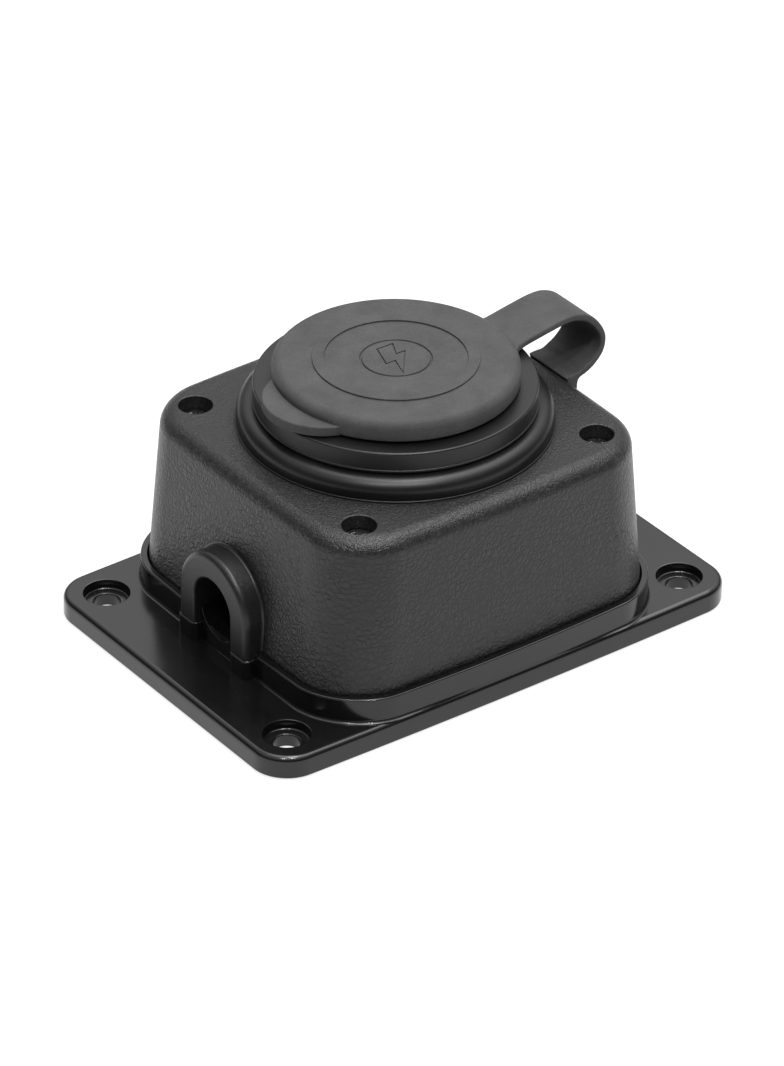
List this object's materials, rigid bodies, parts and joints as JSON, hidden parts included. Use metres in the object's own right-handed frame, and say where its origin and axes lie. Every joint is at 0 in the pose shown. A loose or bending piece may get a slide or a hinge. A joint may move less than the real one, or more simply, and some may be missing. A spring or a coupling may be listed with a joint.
{
  "type": "generator inlet box",
  "caption": "Surface-mount power inlet box: a grained housing on a flanged base, a recessed blade inlet under a round rubber cap on a strap, and an arched side cable entry.",
  "frame": {"origin": "centre of the base flange's back face", "axes": "+Z out of the wall along the inlet, +X along the flange towards the cap's strap, -X to the cable entry"},
  "size_m": [0.1102, 0.0778, 0.0558],
  "materials": {
    "base_plastic": "satin moulded black plastic",
    "grained_plastic": "black plastic with a leather grain on walls and roof",
    "satin_plastic": "smooth satin black plastic",
    "carrier_plastic": "matt dark grey insulating moulding",
    "cap_rubber": "matt fine-textured black rubber",
    "seal_rubber": "plain black rubber",
    "screw_steel": "zinc-plated steel",
    "clamp_steel": "pressed zinc-plated steel",
    "brass_turned": "machined brass",
    "contact_brass": "smooth drawn brass"
  },
  "bodies": {
    "box": {"base_plate": "base_plastic", "housing": "grained_plastic", "perimeter_gasket": "seal_rubber", "housing_screws": "screw_steel", "threaded_inserts": "brass_turned", "collar_ring": "satin_plastic", "roof_gasket": "seal_rubber", "flange_gasket": "seal_rubber", "inlet_shell": "satin_plastic", "retaining_nut": "satin_plastic", "contact_carrier": "carrier_plastic", "carrier_screws": "screw_steel", "blade_line": "contact_brass", "blade_neutral": "contact_brass", "blade_earth": "contact_brass", "terminal_line": "brass_turned", "terminal_neutral": "brass_turned", "terminal_earth": "brass_turned", "terminal_screws": "screw_steel", "terminal_cover": "satin_plastic", "cover_screws": "screw_steel", "cable_clamp": "clamp_steel", "clamp_screws": "screw_steel", "strap": "cap_rubber", "strap_stud": "satin_plastic"},
    "cap_body": {"cap": "cap_rubber", "cap_seal": "seal_rubber"}
  },
  "joints": [
    {"name": "cap_swing", "type": "hinge", "parent": "box", "child": "cap_body", "pos_m": [0.048, 0, 0.0474], "axis": [0, 1, 0], "range_deg": [0, 150], "deforming": ["strap"]}
  ]
}
